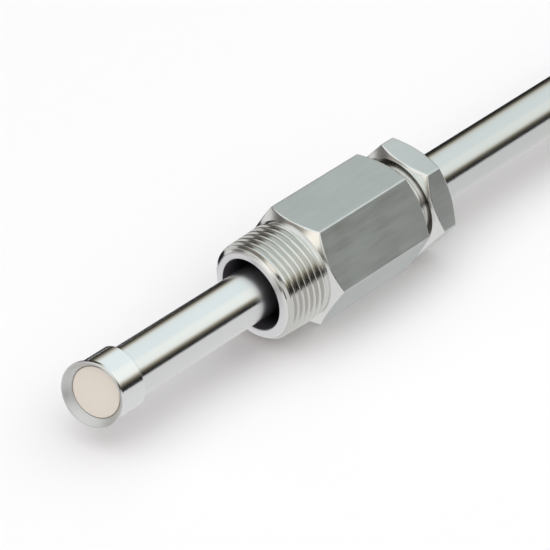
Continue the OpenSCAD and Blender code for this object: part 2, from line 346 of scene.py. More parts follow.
camera_data = bpy.data.cameras.new("camera")
camera_data.lens = 215.2
camera_data.sensor_width = 36
camera_data.clip_start = 0.05
camera_data.clip_end = 20
camera = bpy.data.objects.new("camera", camera_data)
bpy.context.scene.collection.objects.link(camera)
bpy.context.scene.camera = camera
towards = Vector((-math.cos(ELEVATION) * math.cos(AZIMUTH),
                  -math.cos(ELEVATION) * math.sin(AZIMUTH),
                  math.sin(ELEVATION)))
camera.location = AIM + towards * DISTANCE
upright = towards.to_track_quat("Z", "Y")
camera.rotation_euler = (upright @ Quaternion((0, 0, 1), ROLL_OF_PICTURE)).to_euler()
print("camera at", [round(c, 4) for c in camera.location])

# %% [markdown]
# ## Finishes
#
# A material is a tree of nodes. Adding and joining nodes by hand takes many lines, so
# three small helpers do it: one starts a group, one adds a node with its inputs, and one
# adds a sum. The groups below are then built once and used by many materials.

# %% Node helpers
def new_group(name, inputs, outputs):
    """A shader group with named float inputs and outputs."""
    group = bpy.data.node_groups.new(name, "ShaderNodeTree")
    for label, value in inputs.items():
        socket = group.interface.new_socket(label, in_out="INPUT", socket_type="NodeSocketFloat")
        socket.default_value = value
    for label, kind in outputs.items():
        group.interface.new_socket(label, in_out="OUTPUT", socket_type=kind)
    start = group.nodes.new("NodeGroupInput")
    end = group.nodes.new("NodeGroupOutput")
    return group, start, end


def node(tree, kind, links=None, **settings):
    """Adds a node, sets its properties and joins its inputs to sockets or values."""
    made = tree.nodes.new(kind)
    for key, value in settings.items():
        setattr(made, key, value)
    for key, value in (links or {}).items():
        if isinstance(value, bpy.types.NodeSocket):
            tree.links.new(value, made.inputs[key])
        else:
            made.inputs[key].default_value = value
    return made


def math_node(tree, operation, *values):
    made = tree.nodes.new("ShaderNodeMath")
    made.operation = operation
    for i, value in enumerate(values):
        if isinstance(value, bpy.types.NodeSocket):
            tree.links.new(value, made.inputs[i])
        else:
            made.inputs[i].default_value = value
    return made.outputs[0]


def clamped_rise(tree, value, low, high):
    """Rises from 0 to 1 as the value passes from low to high."""
    made = node(tree, "ShaderNodeMapRange", {"Value": value, "From Min": low, "From Max": high})
    made.interpolation_type = "SMOOTHSTEP"
    return made.outputs["Result"]


def axis_distance(tree, place):
    """The distance from the stem's axis and the place along it, in millimetres."""
    axes = node(tree, "ShaderNodeSeparateXYZ", {0: place})
    y_squared = math_node(tree, "MULTIPLY", axes.outputs[1], axes.outputs[1])
    z_squared = math_node(tree, "MULTIPLY", axes.outputs[2], axes.outputs[2])
    distance = math_node(tree, "SQRT", math_node(tree, "ADD", y_squared, z_squared))
    return (math_node(tree, "MULTIPLY", distance, 1 / MM),
            math_node(tree, "MULTIPLY", axes.outputs[0], 1 / MM))


print("helpers ready for", bpy.app.version_string)

# %% [markdown]
# Polished and machined steel take their character from fine marks. Turning marks depend
# only on the place along the axis and the distance from it, as a lathe tool leaves them.
# So one-dimensional noise over a sum of the two is enough, and the rings come of themselves.

# %% Turning marks
FACING_SHARE = 1.37


def make_turning_marks():
    """Fine rings round the axis: a height for bump, and a slow change for roughness."""
    group, start, end = new_group(
        "turning_marks", {"Per millimetre": 6.0},
        {"Height": "NodeSocketFloat", "Drift": "NodeSocketFloat"})
    place = node(group, "ShaderNodeTexCoord").outputs["Object"]
    out, along = axis_distance(group, place)
    lane = math_node(group, "ADD", along, math_node(group, "MULTIPLY", out, FACING_SHARE))
    rings = math_node(group, "MULTIPLY", lane, start.outputs["Per millimetre"])
    marks = node(group, "ShaderNodeTexNoise", {"W": rings, "Scale": 1.0, "Detail": 3.0},
                 noise_dimensions="1D")
    slow = node(group, "ShaderNodeTexNoise",
                {"Vector": place, "Scale": 90.0, "Detail": 3.0, "Roughness": 0.6})
    group.links.new(marks.outputs["Fac"], end.inputs["Height"])
    group.links.new(slow.outputs["Fac"], end.inputs["Drift"])
    return group


TURNING_MARKS = make_turning_marks()
print(TURNING_MARKS.name, len(TURNING_MARKS.nodes), "nodes")

# %% [markdown]
# The flats of the hexagons were ground on a belt, which leaves a long grain along them.
# Noise is stretched along the axis for that. Over it lie a slow cloud and faint smears, a
# little askew, as of a hand or a rag, and they change the tone by a few parts in a hundred.

# %% Long grain
ASKEW = math.radians(24)


def make_long_grain():
    """A belt's grain along the axis: streaks for bump and roughness, and a slow cloud."""
    group, start, end = new_group(
        "long_grain", {"Fineness": 5000.0, "Stretch": 0.02},
        {"Height": "NodeSocketFloat", "Drift": "NodeSocketFloat"})
    place = node(group, "ShaderNodeTexCoord").outputs["Object"]
    axes = node(group, "ShaderNodeSeparateXYZ", {0: place})
    stretched = math_node(group, "MULTIPLY", axes.outputs[0], start.outputs["Stretch"])
    lane = node(group, "ShaderNodeCombineXYZ",
                {0: stretched, 1: axes.outputs[1], 2: axes.outputs[2]})
    streaks = node(group, "ShaderNodeTexNoise",
                   {"Vector": lane.outputs[0], "Scale": start.outputs["Fineness"],
                    "Detail": 4.0, "Roughness": 0.65})
    cloud = node(group, "ShaderNodeTexNoise", {"Vector": place, "Scale": 60.0, "Detail": 2.0})
    askew = node(group, "ShaderNodeMapping", {"Vector": place})
    askew.inputs["Rotation"].default_value = (0.0, ASKEW, 0.0)
    askew.inputs["Scale"].default_value = (0.12, 1.0, 1.0)
    smear = node(group, "ShaderNodeTexNoise",
                 {"Vector": askew.outputs[0], "Scale": 620.0, "Detail": 4.0, "Roughness": 0.6})
    both = math_node(group, "MULTIPLY", math_node(
        group, "ADD", cloud.outputs["Fac"], smear.outputs["Fac"]), 0.5)
    drift = clamped_rise(group, both, 0.24, 0.76)
    group.links.new(streaks.outputs["Fac"], end.inputs["Height"])
    group.links.new(drift, end.inputs["Drift"])
    return group


LONG_GRAIN = make_long_grain()
print(LONG_GRAIN.name, len(LONG_GRAIN.nodes), "nodes")


# %% [markdown]
# Two more groups know where they are from the distance to the stem's axis. One finds the
# corners of a hexagon, which handling rubs smooth; their lighter tone is partly a painted
# edge highlight. The other finds all that lies inside a radius on one stretch of the axis,
# where the tone is darker: painted shade in a pocket, an undercut or a thread's grooves, and
# a darker stretch of the stem.

# %% Masks
def make_corner_wear_and_highlight():
    """Rises towards a hexagon's corners, broken up a little along them, where rubbing and a
    painted edge highlight lighten the tone.
    """
    group, start, end = new_group(
        "corner_wear_and_highlight", {"Corner radius": 20.1, "Width": 0.2}, {"Mask": "NodeSocketFloat"})
    place = node(group, "ShaderNodeTexCoord").outputs["Object"]
    distance, _ = axis_distance(group, place)
    short_of = math_node(group, "SUBTRACT", start.outputs["Corner radius"], distance)
    share = math_node(group, "DIVIDE", short_of, start.outputs["Width"])
    rub = node(group, "ShaderNodeTexNoise", {"Vector": place, "Scale": 400.0, "Detail": 3.0})
    uneven = math_node(group, "ADD", share, rub.outputs["Fac"])
    near = math_node(group, "SUBTRACT", 1.0, clamped_rise(group, uneven, 0.3, 1.3))
    group.links.new(near, end.inputs["Mask"])
    return group


def make_hollow_mask():
    """Inside a radius, fading in over a depth from one place and ending at another, for painted
    shade in hollows and a darker stretch of the stem.
    """
    group, start, end = new_group(
        "hollow_mask", {"Radius": 12.0, "From": -8.0, "Depth": 4.0, "To": 18.5},
        {"Mask": "NodeSocketFloat"})
    place = node(group, "ShaderNodeTexCoord").outputs["Object"]
    distance, along = axis_distance(group, place)
    outside = math_node(group, "SUBTRACT", distance, start.outputs["Radius"])
    inside = math_node(group, "SUBTRACT", 1.0, clamped_rise(group, outside, 0.05, 0.25))
    behind = math_node(group, "SUBTRACT", along, start.outputs["From"])
    share = math_node(group, "DIVIDE", behind, start.outputs["Depth"])
    before = math_node(group, "SUBTRACT", start.outputs["To"], along)
    deep = math_node(group, "MULTIPLY", clamped_rise(group, share, 0.0, 1.0),
                     clamped_rise(group, before, 0.0, 0.3))
    group.links.new(math_node(group, "MULTIPLY", inside, deep), end.inputs["Mask"])
    return group


CORNER_WEAR_AND_HIGHLIGHT = make_corner_wear_and_highlight()
HOLLOW_MASK = make_hollow_mask()
print("masks:", CORNER_WEAR_AND_HIGHLIGHT.name, "and", HOLLOW_MASK.name)


# %% [markdown]
# One function builds every steel. The shader itself stays in the material, and only
# colours, values and heights come out of the groups. Drawn and turned steel smears its
# highlights across the marks: anisotropy does that, with the tangent round the axis.

# %% Making a steel
SMEAR_ALONG = 0.25
# The corners' lighter tone: rubbing, and in part a painted edge highlight.
RUBBED_HIGHLIGHT_TONE = (0.69, 0.715, 0.705)
RUBBED_ROUGHNESS = 0.34
MARK_DEPTH = 0.02 * MM


def blank_material(name):
    made = bpy.data.materials.new(name)
    made.use_nodes = True
    shader = made.node_tree.nodes["Principled BSDF"]
    return made, made.node_tree, shader


def colour_mix(tree, factor, first, second):
    """Mixes two colours, each given as three numbers or as a socket."""
    mixed = node(tree, "ShaderNodeMix", {"Factor": factor}, data_type="RGBA")
    for label, colour in (("A", first), ("B", second)):
        if isinstance(colour, bpy.types.NodeSocket):
            tree.links.new(colour, mixed.inputs[label])
        else:
            mixed.inputs[label].default_value = (*colour, 1)
    return mixed.outputs["Result"]


def value_mix(tree, factor, first, second):
    mixed = node(tree, "ShaderNodeMix", {"Factor": factor, "A": first, "B": second})
    return mixed.outputs["Result"]


def finish(colour, dark, roughness, spread, marks, scale, streak=0.0):
    """How a cut or ground face looks: two tones, a range of roughness, and its marks."""
    return {"colour": colour, "dark": dark, "roughness": roughness, "spread": spread,
            "marks": marks, "scale": scale, "streak": streak}


def finish_sockets(tree, look):
    """Colour, roughness and height of one finish, as sockets."""
    group = node(tree, "ShaderNodeGroup", node_tree=look["marks"])
    group.inputs[0].default_value = look["scale"]
    height, drift = group.outputs["Height"], group.outputs["Drift"]
    both = math_node(tree, "MULTIPLY", math_node(tree, "ADD", height, drift), 0.5)
    rough = node(tree, "ShaderNodeMapRange",
                 {"Value": both, "From Min": 0.3, "From Max": 0.7,
                  "To Min": look["roughness"] - look["spread"],
                  "To Max": look["roughness"] + look["spread"]})
    tone = colour_mix(tree, drift, look["dark"], look["colour"])
    return tone, rough.outputs["Result"], height


def steel(name, look, bump=0.15, corner_r=None, hollow=None, metal=1.0):
    """Steel with a finish, and where given with rubbed corners that carry a painted highlight, or
    a darker tone inside a radius: painted shade in pockets, grooves and gaps.
    """
    made, tree, shader = blank_material(name)
    shader.inputs["Metallic"].default_value = metal
    shader.inputs["Anisotropic"].default_value = look["streak"]
    shader.inputs["Anisotropic Rotation"].default_value = SMEAR_ALONG
    tone, rough, height = finish_sockets(tree, look)
    # Corners get a lighter tone: real rubbing, and in part a painted edge highlight.
    if corner_r is not None:
        rub_and_highlight = node(tree, "ShaderNodeGroup", node_tree=CORNER_WEAR_AND_HIGHLIGHT)
        rub_and_highlight.inputs["Corner radius"].default_value = corner_r
        tone = colour_mix(tree, rub_and_highlight.outputs["Mask"], tone, RUBBED_HIGHLIGHT_TONE)
        rough = value_mix(tree, rub_and_highlight.outputs["Mask"], rough, RUBBED_ROUGHNESS)
    # Inside a radius the tone turns darker: painted shade in pockets, grooves and gaps.
    if hollow is not None:
        shade = node(tree, "ShaderNodeGroup", node_tree=HOLLOW_MASK)
        for label in ("Radius", "From", "Depth", "To"):
            shade.inputs[label].default_value = hollow[label]
        tone = colour_mix(tree, shade.outputs["Mask"], tone, hollow["Colour"])
    tree.links.new(tone, shader.inputs["Base Color"])
    tree.links.new(rough, shader.inputs["Roughness"])
    relief = node(tree, "ShaderNodeBump",
                  {"Height": height, "Strength": bump, "Distance": MARK_DEPTH})
    tree.links.new(relief.outputs["Normal"], shader.inputs["Normal"])
    around = node(tree, "ShaderNodeTangent", direction_type="RADIAL", axis="X")
    tree.links.new(around.outputs["Tangent"], shader.inputs["Tangent"])
    return made


def corner_radius(across_flats):
    """How far a hexagon's rounded corners reach from the axis."""
    return across_flats / 2 / math.cos(HALF_CORNER) * 2 ** (-1 / SMOOTH_POWER)


print("body's corners at", round(corner_radius(BODY_AF), 2), "mm")

# %% [markdown]
# Each finish is a light and a dark tone, a roughness and its spread, the marks and how
# fine they are, and how far they smear a highlight. The stem is polished most, the ground
# flats least, and the mouth and the slanted face are left satin.

# %% Finishes
POLISHED = finish((0.85, 0.86, 0.85), (0.79, 0.80, 0.79), 0.20, 0.02, TURNING_MARKS, 5, 0.85)
COLLAR = finish((0.90, 0.905, 0.90), (0.84, 0.845, 0.84), 0.18, 0.03, TURNING_MARKS, 6, 0.8)
SATIN = finish((0.79, 0.79, 0.785), (0.71, 0.71, 0.705), 0.50, 0.05, TURNING_MARKS, 4, 0.2)
TURNED = finish((0.90, 0.90, 0.88), (0.82, 0.82, 0.80), 0.20, 0.04, TURNING_MARKS, 2.6, 0.6)
THREADED = finish((0.86, 0.86, 0.83), (0.72, 0.72, 0.68), 0.15, 0.04, TURNING_MARKS, 8, 0.4)
GROUND = finish((0.625, 0.655, 0.645), (0.525, 0.55, 0.54), 0.45, 0.05, LONG_GRAIN, 5000)
GROUND_NUT = finish((0.66, 0.685, 0.67), (0.57, 0.595, 0.58), 0.40, 0.05, LONG_GRAIN, 5000)
GLAND = finish((0.70, 0.72, 0.71), (0.62, 0.64, 0.63), 0.27, 0.05, TURNING_MARKS, 6, 0.4)
BRONZE = finish((0.62, 0.50, 0.33), (0.50, 0.40, 0.26), 0.32, 0.06, TURNING_MARKS, 8, 0.4)
MOUTH = finish((0.90, 0.89, 0.91), (0.84, 0.83, 0.85), 0.40, 0.04, TURNING_MARKS, 4, 0.2)
# The pocket's dark tone is painted shade inside the bore.
POCKET = finish((0.17, 0.155, 0.18), (0.12, 0.11, 0.13), 0.6, 0.05, TURNING_MARKS, 3)
print("finishes from", POLISHED["roughness"], "to", POCKET["roughness"], "rough")

# %% [markdown]
# Four places have a tone painted on: the head's pocket goes black towards its end, and the
# thread's grooves and the nut's shank are darker than what stands out round them, all three
# as painted shade. The stem is a little darker behind the nut.

# %% Painted shade, and a darker stem
# Painted shade: the pocket goes black with depth from the mouth.
POCKET_PAINTED_SHADE = {"Radius": POCKET_R, "From": thread_front + 0.2, "Depth": 9.0,
               "To": POCKET_END + 0.5, "Colour": (0.020, 0.017, 0.022)}
# Painted shade in the thread's grooves, between the crests.
GROOVE_PAINTED_SHADE = {"Radius": THREAD_R - 0.5, "From": thread_front - 2, "Depth": 1.0,
               "To": HEX_FRONT, "Colour": (0.70, 0.695, 0.665)}
# Painted shade on the nut's shank, in the gap between the two hexagons.
SHANK_PAINTED_SHADE = {"Radius": NUT_THREAD_R + 0.1, "From": hex_rear - 2, "Depth": 1.0,
              "To": NUT_FRONT - 1.3, "Colour": (0.11, 0.090, 0.072)}
# The stem is darker from the nut backwards.
STEM_DARKER_BEHIND_NUT = {"Radius": STEM_R + 0.5, "From": NUT_FRONT, "Depth": 18.0,
             "To": stem_end + 1, "Colour": (0.70, 0.715, 0.70)}
print("pocket dark from", POCKET_PAINTED_SHADE["From"], "to", POCKET_PAINTED_SHADE["To"], "mm")

# %% [markdown]
# Flats and turned faces of one piece get a material each, because how far a highlight
# smears is one value for the whole material. Only the flats have rubbed corners, lightened
# in part as a painted edge highlight.

# %% Steels
STEM_STEEL = steel("stem_steel", POLISHED, 0.08, hollow=STEM_DARKER_BEHIND_NUT)
HEAD_STEEL = steel("head_steel", COLLAR, 0.10)
FACE_STEEL = steel("face_steel", SATIN, 0.12)
BODY_FLATS = steel("body_flats", GROUND, 0.22, corner_r=corner_radius(BODY_AF))
BODY_TURNED = steel("body_turned", TURNED, 0.22)
MOUTH_STEEL = steel("mouth_steel", MOUTH, 0.15)
POCKET_SHADED_STEEL = steel("pocket_shaded_steel", POCKET, 0.15, hollow=POCKET_PAINTED_SHADE, metal=0.3)
NUT_FLATS = steel("nut_flats", GROUND_NUT, 0.22, corner_r=corner_radius(NUT_AF))
NUT_TURNED = steel("nut_turned", TURNED, 0.22, hollow=SHANK_PAINTED_SHADE)
THREAD_STEEL = steel("thread_steel", THREADED, 0.10, hollow=GROOVE_PAINTED_SHADE)
GLAND_STEEL = steel("gland_steel", GLAND, 0.15)
GLAND_FLATS = steel("gland_flats", GROUND_NUT, 0.22, corner_r=corner_radius(GLAND_AF))
RING_BRONZE = steel("ring_bronze", BRONZE, 0.20)
print("twelve steels and", RING_BRONZE.name)


# %% [markdown]
# The rest is moulded, fired or pressed. Fine mottling in tone, roughness and height, all
# from one noise, keeps such a material from looking like bare plastic.

# %% Making a moulded material
MOTTLE_DEPTH = 0.03 * MM


def plain(name, colour, dark, roughness, spread, size, bump):
    """A moulded, fired or pressed material: fine mottling in colour, roughness and bump."""
    made, tree, shader = blank_material(name)
    place = node(tree, "ShaderNodeTexCoord").outputs["Object"]
    mottle = node(tree, "ShaderNodeTexNoise",
                  {"Vector": place, "Scale": 1 / (size * MM), "Detail": 5.0, "Roughness": 0.6})
    tone = colour_mix(tree, mottle.outputs["Fac"], dark, colour)
    tree.links.new(tone, shader.inputs["Base Color"])
    rough = node(tree, "ShaderNodeMapRange",
                 {"Value": mottle.outputs["Fac"], "From Min": 0.3, "From Max": 0.7,
                  "To Min": roughness - spread, "To Max": roughness + spread})
    tree.links.new(rough.outputs["Result"], shader.inputs["Roughness"])
    relief = node(tree, "ShaderNodeBump",
                  {"Height": mottle.outputs["Fac"], "Strength": bump, "Distance": MOTTLE_DEPTH})
    tree.links.new(relief.outputs["Normal"], shader.inputs["Normal"])
    return made


# %% [markdown]
# The window is a beige plastic that sound passes well, and a brown line bonds it in. The
# rest is inside: packing, fired crystals, cork, resin, the skins of two leads, and rubber.

# %% Moulded materials
WINDOW_BEIGE = plain("window_beige", (0.82, 0.745, 0.67), (0.77, 0.70, 0.63), 0.5, 0.06, 0.5, 0.15)
BOND_BROWN = plain("bond_brown", (0.30, 0.27, 0.23), (0.20, 0.18, 0.15), 0.6, 0.1, 0.4, 0.3)
PACKING_WHITE = plain("packing_white", (0.80, 0.78, 0.73), (0.72, 0.70, 0.65), 0.4, 0.08, 0.8, 0.2)
CRYSTAL = plain("crystal_ceramic", (0.48, 0.40, 0.28), (0.40, 0.33, 0.22), 0.45, 0.08, 0.3, 0.2)
CORK = plain("barrier_cork", (0.36, 0.18, 0.08), (0.20, 0.09, 0.04), 0.8, 0.08, 0.6, 0.6)
BACKING = plain("backing_dark", (0.05, 0.045, 0.04), (0.03, 0.028, 0.025), 0.6, 0.1, 0.5, 0.3)
LEAD_BLACK = plain("lead_black", (0.03, 0.03, 0.032), (0.02, 0.02, 0.022), 0.45, 0.06, 1.0, 0.1)
LEAD_RED = plain("lead_red", (0.30, 0.03, 0.02), (0.22, 0.02, 0.015), 0.45, 0.06, 1.0, 0.1)
RUBBER = plain("seal_rubber", (0.018, 0.018, 0.02), (0.010, 0.010, 0.012), 0.6, 0.08, 0.6, 0.3)
print(len(bpy.data.materials), "materials with those of the solids")


# %% [markdown]
# Every piece made here stands for one of the imported solids. It rides on the same body,
# takes a material, and hides the solid it replaces, so nothing is drawn twice.

# %% Dressing a piece
AXIS_FACING = 0.35


def dress(piece, material):
    """Gives a piece, or a solid that stays, its one material."""
    piece.data.materials.clear()
    piece.data.materials.append(material)
    return piece


def stands_for(piece, body, slot, material, *nodes):
    """Dresses a piece and puts it in the place of the solids that it stands for."""
    dress(piece, material)
    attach(piece, body)
    if nodes:
        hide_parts(*nodes)
    return piece


def turned_faces(piece, material, within=0.0):
    """Gives a second finish to the faces that look along the axis or lie close to it."""
    piece.data.materials.append(material)
    cut = 0
    for face in piece.data.polygons:
        distance = math.hypot(face.center.y, face.center.z) / MM
        if abs(face.normal.x) > AXIS_FACING or distance < within:
            face.material_index = 1
            cut += 1
    print(piece.name, "has", cut, "turned faces of", len(piece.data.polygons))


# %% [markdown]
# ## The fitting body
#
# One closed skin runs over the mouth and its bevel, the core under the thread, the neck
# behind it, the hexagon with its two chamfered ends, and back through the bores that hold
# the packing. It could be joined from cylinders by Booleans, but one profile is easier to
# keep clean. The thread itself is a piece of its own, made next.

# %% Fitting body
NUT_BORE_R = NUT_THREAD_R + 0.05
BODY_FLATS_FROM = 16.4
FLAT_STEP = 0.12
front_edge, front_cone = chamfer_cone(HEX_FRONT, 1, BODY_AF, HEX_INSET)
rear_edge, rear_cone = chamfer_cone(hex_rear, -1, BODY_AF, HEX_INSET)
body_profile = [
    (thread_front, POCKET_R + 0.25, 0.1),
    (thread_front, MOUTH_FACE_R, 0.12),
    (thread_front + MOUTH_BEVEL, CORE_R, 0),
    (HEX_FRONT - 1.3, CORE_R, 0),
    (HEX_FRONT - 0.9, NECK_R, 0.1),
    (HEX_FRONT, NECK_R, 0.25),
    front_edge,
    front_cone,
    rear_cone,
    rear_edge,
    (hex_rear, NUT_BORE_R + 0.5, 0.1),
    (hex_rear - 0.5, NUT_BORE_R, 0.1),
    (nut_nose - 1, NUT_BORE_R, 0.1),
    (nut_nose - 1, PACKING_R, 0.1),
    (packing_front, PACKING_R, 0.1),
    (packing_front, STEM_R + FREE, 0.1),
    (POCKET_END, STEM_R + FREE, 0.2),
    (POCKET_END, POCKET_R, 0.4),
    (thread_front + 0.25, POCKET_R, 0.1),
]
fitting = turned("fitting_shell", body_profile, hexagon(BODY_AF, 0), hexagon_angles(0), FLAT_STEP)
stands_for(fitting, "fitting", "fitting_steel", BODY_FLATS, "fitting_body")
turned_faces(fitting, BODY_TURNED, within=BODY_FLATS_FROM)

# %% [markdown]
# A piece may have several finishes, one for each face. The mouth is left satin, and the
# pocket behind it gets a dark tone, which is painted shade.

# %% Mouth and pocket
MOUTH_SLOT, POCKET_SLOT = 2, 3
fitting.data.materials.append(MOUTH_STEEL)
fitting.data.materials.append(POCKET_SHADED_STEEL)
for face in fitting.data.polygons:
    x = face.center.x / MM
    distance = math.hypot(face.center.y, face.center.z) / MM
    if x < thread_front + 0.3 and face.normal.x < -AXIS_FACING:
        face.material_index = MOUTH_SLOT
    elif x < POCKET_END + 0.1 and distance < POCKET_R + 0.1:
        face.material_index = POCKET_SLOT
print("the fitting has", len(fitting.data.materials), "finishes")

# %% [markdown]
# ## The pipe thread
#
# A thread is a rule more than a shape: the surface rises and falls once in every pitch,
# and a full turn round the axis shifts it by one pitch. So Geometry Nodes lift it from a
# plain grid. One side of the grid becomes the way round, the other the way along, and
# the radius follows from both. The crests narrow a little towards the mouth. Chamfers at
# both ends cut them down by a soft minimum. The first and last rows dive under the
# surface and meet, so the skin closes.

# %% Thread tree
CREST_FLAT = 0.16
FLANK_STRAIGHT = 0.88
WHOLE_TURNS = 10
FRONT_ROUND = 0.15 * MM
REAR_ROUND = 0.25 * MM


def make_thread_tree(rows, columns):
    tree = bpy.data.node_groups.new("thread_tree", "GeometryNodeTree")
    tree.interface.new_socket("Thread", in_out="OUTPUT", socket_type="NodeSocketGeometry")
    names = ["Start", "Length", "Pitch", "Phase", "Crest radius", "Taper", "Depth", "Inner radius",
             "Front radius", "Front slope", "Rear radius"]
    for label in names:
        tree.interface.new_socket(label, in_out="INPUT", socket_type="NodeSocketFloat")
    tree.interface.new_socket("Finish", in_out="INPUT", socket_type="NodeSocketMaterial")
    source = tree.nodes.new("NodeGroupInput").outputs

    def calc(operation, *values):
        return math_node(tree, operation, *values)

    grid = node(tree, "GeometryNodeMeshGrid",
                {"Size X": 1.0, "Size Y": 1.0, "Vertices X": rows, "Vertices Y": columns + 1})
    place = node(tree, "ShaderNodeSeparateXYZ",
                 {0: node(tree, "GeometryNodeInputPosition").outputs[0]})
    row = calc("MULTIPLY", calc("ADD", place.outputs[0], 0.5), rows - 1.0)
    way_round = calc("ADD", place.outputs[1], 0.5)
    share = calc("DIVIDE", calc("SUBTRACT", row, 2.0), rows - 5.0)
    share = calc("MINIMUM", calc("MAXIMUM", share, 0.0), 1.0)
    along = calc("MULTIPLY", share, source["Length"])
    # One rise and fall in each pitch, shifted by one pitch for each turn
    pitches = calc("SUBTRACT", calc("DIVIDE", along, source["Pitch"]), way_round)
    phase = calc("FRACT", calc("ADD", calc("ADD", pitches, source["Phase"]), WHOLE_TURNS))
    fall = calc("ABSOLUTE", calc("SUBTRACT", calc("MULTIPLY", phase, 2.0), 1.0))
    flank = calc("DIVIDE", calc("SUBTRACT", fall, CREST_FLAT), 1 - 2 * CREST_FLAT)
    flank = calc("MINIMUM", calc("MAXIMUM", flank, 0.0), 1.0)
    eased = calc("MULTIPLY", calc("MULTIPLY", flank, flank),
                 calc("SUBTRACT", 3.0, calc("MULTIPLY", flank, 2.0)))
    flank = calc("ADD", calc("MULTIPLY", flank, FLANK_STRAIGHT),
                 calc("MULTIPLY", eased, 1 - FLANK_STRAIGHT))
    narrowing = calc("MULTIPLY", source["Taper"], calc("SUBTRACT", source["Length"], along))
    crest = calc("SUBTRACT", source["Crest radius"], narrowing)
    lifted = calc("SUBTRACT", crest, calc("MULTIPLY", flank, source["Depth"]))
    # Chamfers at the two ends
    front = calc("ADD", source["Front radius"], calc("MULTIPLY", source["Front slope"], along))
    rear = calc("ADD", source["Rear radius"], calc("SUBTRACT", source["Length"], along))
    lifted = calc("SMOOTH_MIN", lifted, front, FRONT_ROUND)
    lifted = calc("SMOOTH_MIN", lifted, rear, REAR_ROUND)
    # The outermost two rows at each end lie under the surface
    inside = calc("MAXIMUM", calc("LESS_THAN", row, 1.5), calc("GREATER_THAN", row, rows - 2.5))
    ends_meet = calc("MAXIMUM", calc("LESS_THAN", row, 0.5), calc("GREATER_THAN", row, rows - 1.5))
    radius = calc("ADD", calc("MULTIPLY", lifted, calc("SUBTRACT", 1.0, inside)),
                  calc("MULTIPLY", source["Inner radius"], inside))
    middle = calc("MULTIPLY", source["Length"], 0.5)
    x = calc("ADD", calc("MULTIPLY", along, calc("SUBTRACT", 1.0, ends_meet)),
             calc("MULTIPLY", middle, ends_meet))
    x = calc("ADD", x, source["Start"])
    angle = calc("MULTIPLY", way_round, 2 * math.pi)
    point = node(tree, "ShaderNodeCombineXYZ",
                 {0: x, 1: calc("MULTIPLY", radius, calc("COSINE", angle)),
                  2: calc("MULTIPLY", radius, calc("SINE", angle))})
    moved = node(tree, "GeometryNodeSetPosition",
                 {"Geometry": grid.outputs["Mesh"], "Position": point.outputs[0]})
    merged = node(tree, "GeometryNodeMergeByDistance",
                  {"Geometry": moved.outputs[0], "Distance": 1e-6})
    smooth = node(tree, "GeometryNodeSetShadeSmooth", {"Geometry": merged.outputs[0]})
    real = node(tree, "GeometryNodeRealizeInstances", {"Geometry": smooth.outputs[0]})
    painted = node(tree, "GeometryNodeSetMaterial",
                   {"Geometry": real.outputs[0], "Material": source["Finish"]})
    end = tree.nodes.new("NodeGroupOutput")
    tree.links.new(painted.outputs[0], end.inputs[0])
    return tree


# %% [markdown]
# The tree runs as a modifier on an empty mesh. Its inputs are set by their identifiers
# before anything is evaluated, and the result is kept as a plain mesh, so that the piece
# can be exported, posed and measured like every other.

# %% Growing a mesh from a tree
def grown(name, tree, values):
    """Runs a tree on an empty mesh with the given inputs and keeps the plain result."""
    carrier = bpy.data.objects.new(name + "_carrier", bpy.data.meshes.new(name + "_carrier"))
    bpy.context.scene.collection.objects.link(carrier)
    modifier = carrier.modifiers.new("nodes", "NODES")
    modifier.node_group = tree
    for item in tree.interface.items_tree:
        if item.item_type == "SOCKET" and item.in_out == "INPUT":
            modifier[item.identifier] = values[item.name]
    evaluated = carrier.evaluated_get(bpy.context.evaluated_depsgraph_get())
    mesh = bpy.data.meshes.new_from_object(evaluated)
    mesh.name = name
    carrier.modifiers.remove(modifier)
    bpy.data.objects.remove(carrier)
    made = bmesh.new()
    made.from_mesh(mesh)
    bmesh.ops.recalc_face_normals(made, faces=made.faces)
    made.to_mesh(mesh)
    made.free()
    piece = bpy.data.objects.new(name, mesh)
    bpy.context.scene.collection.objects.link(piece)
    print(name, len(mesh.polygons), "faces")
    return piece


# %% [markdown]
# The thread lies over the fitting's core. It stands for no solid of its own, because the
# body's solid has the thread as plain rings: it only rides on the same body.

# %% Pipe thread
THREAD_ROWS, THREAD_COLUMNS = 225, 240
UNDER = 0.4
thread = grown("pipe_thread", make_thread_tree(THREAD_ROWS, THREAD_COLUMNS), {
    "Start": (thread_front + THREAD_STARTS) * MM,
    "Length": THREAD_SPAN * MM,
    "Pitch": THREAD_PITCH * MM,
    "Phase": THREAD_PHASE,
    "Crest radius": THREAD_R * MM,
    "Taper": THREAD_TAPER,
    "Depth": THREAD_DEPTH * MM,
    "Inner radius": (CORE_R - UNDER) * MM,
    "Front radius": CORE_R * MM,
    "Front slope": THREAD_LEAD_IN,
    "Rear radius": CORE_R * MM,
    "Finish": THREAD_STEEL,
})
stands_for(thread, "fitting", "fitting_steel", THREAD_STEEL)

# %% [markdown]
# ## The gland nut
#
# The nut is a thin hexagon with both ends chamfered, on a shank that screws into the
# fitting. Its smooth undercut shows in the gap between the two hexagons. It is turned by
# the same lathe with a limit as the body, so its chamfers curve in the same way.

